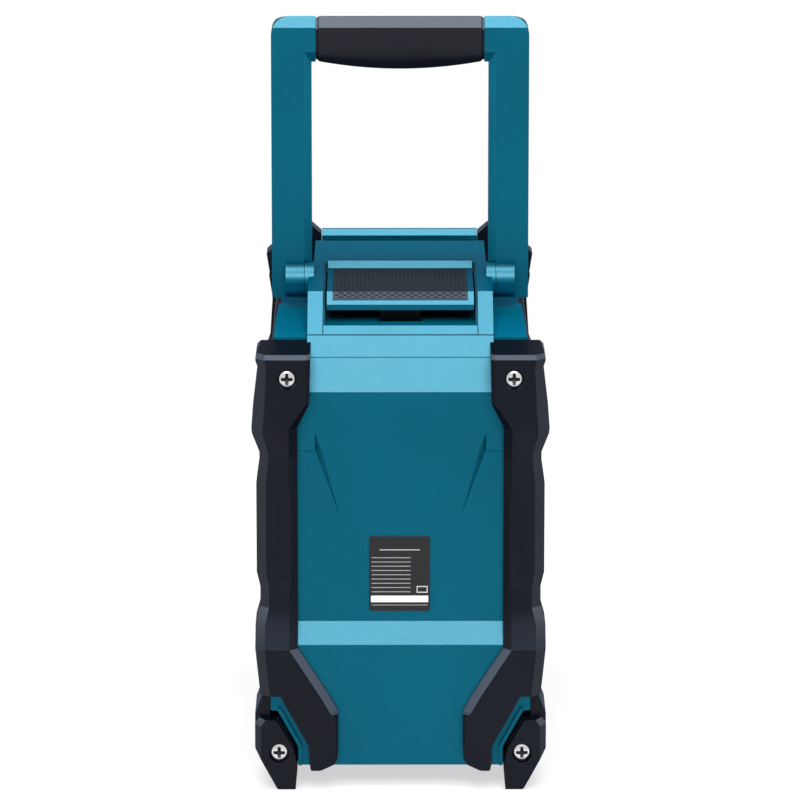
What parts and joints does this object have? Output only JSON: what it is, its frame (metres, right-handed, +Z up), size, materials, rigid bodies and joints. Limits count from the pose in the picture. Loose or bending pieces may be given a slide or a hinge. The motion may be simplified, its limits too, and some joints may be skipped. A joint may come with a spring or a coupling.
{
  "type": "jobsite radio",
  "caption": "Jobsite radio with a folding carrying handle, a latched rear door over the battery bay, corner bumpers and feet, side speakers and front controls.",
  "frame": {"origin": "on the floor under the middle of the box, midway between the bumper faces", "axes": "+X to the right seen from behind, +Y from the rear door to the front panel, +Z up"},
  "size_m": [0.1678, 0.28, 0.428],
  "materials": {
    "teal_plastic": "injection moulded teal ABS with a fine metallic fleck, satin",
    "black_rubber": "overmoulded black elastomer, fine matt grain",
    "black_plastic": "moulded black plastic, spark-eroded texture",
    "grille_steel": "black powder-coated steel",
    "screw_steel": "zinc-plated steel, bright",
    "plate_black": "printed foil plate, satin black, blank with ruled fields",
    "display_clear": "clear polycarbonate",
    "display_grey": "liquid-crystal glass, grey-green",
    "board_green": "green solder mask",
    "contact_brass": "plated brass",
    "cone_black": "pressed paper cone with a rubber surround"
  },
  "bodies": {
    "radio": {"aerial_foot": "black_plastic", "audio_socket": "black_plastic", "battery_bay": "black_plastic", "battery_contacts": "contact_brass", "control_board": "board_green", "control_fascia": "black_plastic", "cover_pin": "screw_steel", "dc_socket": "black_plastic", "display_module": "display_grey", "display_window": "display_clear", "door_hinge_pins": "screw_steel", "foot_front_left": "black_rubber", "foot_front_right": "black_rubber", "foot_rear_left": "black_rubber", "foot_rear_right": "black_rubber", "foot_screws": "screw_steel", "front_bumper_left": "black_rubber", "front_bumper_right": "black_rubber", "front_bumper_screws": "screw_steel", "front_housing": "teal_plastic", "front_panel": "teal_plastic", "handle_hinge_pins": "screw_steel", "housing_screws": "screw_steel", "latch_pin": "screw_steel", "latch_spring": "screw_steel", "main_board": "board_green", "rear_housing": "teal_plastic", "side_panel_left": "black_plastic", "side_panel_right": "black_plastic", "speaker_baskets": "grille_steel", "speaker_cones": "cone_black", "speaker_grille_left": "grille_steel", "speaker_grille_right": "grille_steel", "speaker_magnets": "grille_steel", "terminal_block": "black_plastic", "top_frame": "teal_plastic", "usb_socket": "black_plastic", "volume_encoder": "black_plastic"},
    "door": {"rear_door": "teal_plastic", "rear_bumper_left": "black_rubber", "rear_bumper_right": "black_rubber", "rear_bumper_screws": "screw_steel", "rating_plate": "plate_black", "door_seal": "black_rubber"},
    "handle": {"handle": "teal_plastic", "handle_grip": "black_rubber"},
    "latch": {"latch_lever": "teal_plastic", "latch_pad": "black_rubber", "latch_hook": "black_plastic"},
    "knob": {"volume_knob": "black_plastic"},
    "power_key": {"power_button": "black_plastic"},
    "mode_key": {"mode_button": "black_plastic"},
    "key_1": {"preset_button_1": "black_plastic"},
    "key_2": {"preset_button_2": "black_plastic"},
    "key_3": {"preset_button_3": "black_plastic"},
    "key_4": {"preset_button_4": "black_plastic"},
    "key_5": {"preset_button_5": "black_plastic"},
    "cover": {"socket_cover": "black_rubber"},
    "aerial": {"aerial": "black_rubber"}
  },
  "joints": [
    {"name": "handle_swing", "type": "hinge", "parent": "radio", "child": "handle", "pos_m": [0, -0.034, 0.2758], "axis": [-1, 0, 0], "range_deg": [0, 90]},
    {"name": "door_swing", "type": "hinge", "parent": "radio", "child": "door", "pos_m": [0, -0.132, 0.0174], "axis": [1, 0, 0], "range_deg": [0, 88]},
    {"name": "latch_lift", "type": "hinge", "parent": "radio", "child": "latch", "pos_m": [0, -0.008, 0.275], "axis": [-1, 0, 0], "range_deg": [0, 38], "stiffness_Nm_per_rad": 0.06, "springref_deg": -17.19},
    {"name": "volume_turn", "type": "hinge", "parent": "radio", "child": "knob", "pos_m": [0, 0.13, 0.145], "axis": [0, -1, 0], "continuous": true},
    {"name": "cover_swing", "type": "hinge", "parent": "radio", "child": "cover", "pos_m": [0, 0.1314, 0.1038], "axis": [-1, 0, 0], "range_deg": [0, 110]},
    {"name": "aerial_swing", "type": "hinge", "parent": "radio", "child": "aerial", "pos_m": [-0.0357, 0.133, 0.268], "axis": [0, -1, 0], "range_deg": [0, 90]},
    {"name": "power_press", "type": "slide", "parent": "radio", "child": "power_key", "axis": [0, -1, 0], "range_m": [0, 0.0012], "stiffness_N_per_m": 800, "springref_m": -0.0006},
    {"name": "mode_press", "type": "slide", "parent": "radio", "child": "mode_key", "axis": [0, -1, 0], "range_m": [0, 0.0012], "stiffness_N_per_m": 800, "springref_m": -0.0006},
    {"name": "preset_1_press", "type": "slide", "parent": "radio", "child": "key_1", "axis": [0, -1, 0], "range_m": [0, 0.0012], "stiffness_N_per_m": 800, "springref_m": -0.0006},
    {"name": "preset_2_press", "type": "slide", "parent": "radio", "child": "key_2", "axis": [0, -1, 0], "range_m": [0, 0.0012], "stiffness_N_per_m": 800, "springref_m": -0.0006},
    {"name": "preset_3_press", "type": "slide", "parent": "radio", "child": "key_3", "axis": [0, -1, 0], "range_m": [0, 0.0012], "stiffness_N_per_m": 800, "springref_m": -0.0006},
    {"name": "preset_4_press", "type": "slide", "parent": "radio", "child": "key_4", "axis": [0, -1, 0], "range_m": [0, 0.0012], "stiffness_N_per_m": 800, "springref_m": -0.0006},
    {"name": "preset_5_press", "type": "slide", "parent": "radio", "child": "key_5", "axis": [0, -1, 0], "range_m": [0, 0.0012], "stiffness_N_per_m": 800, "springref_m": -0.0006}
  ]
}
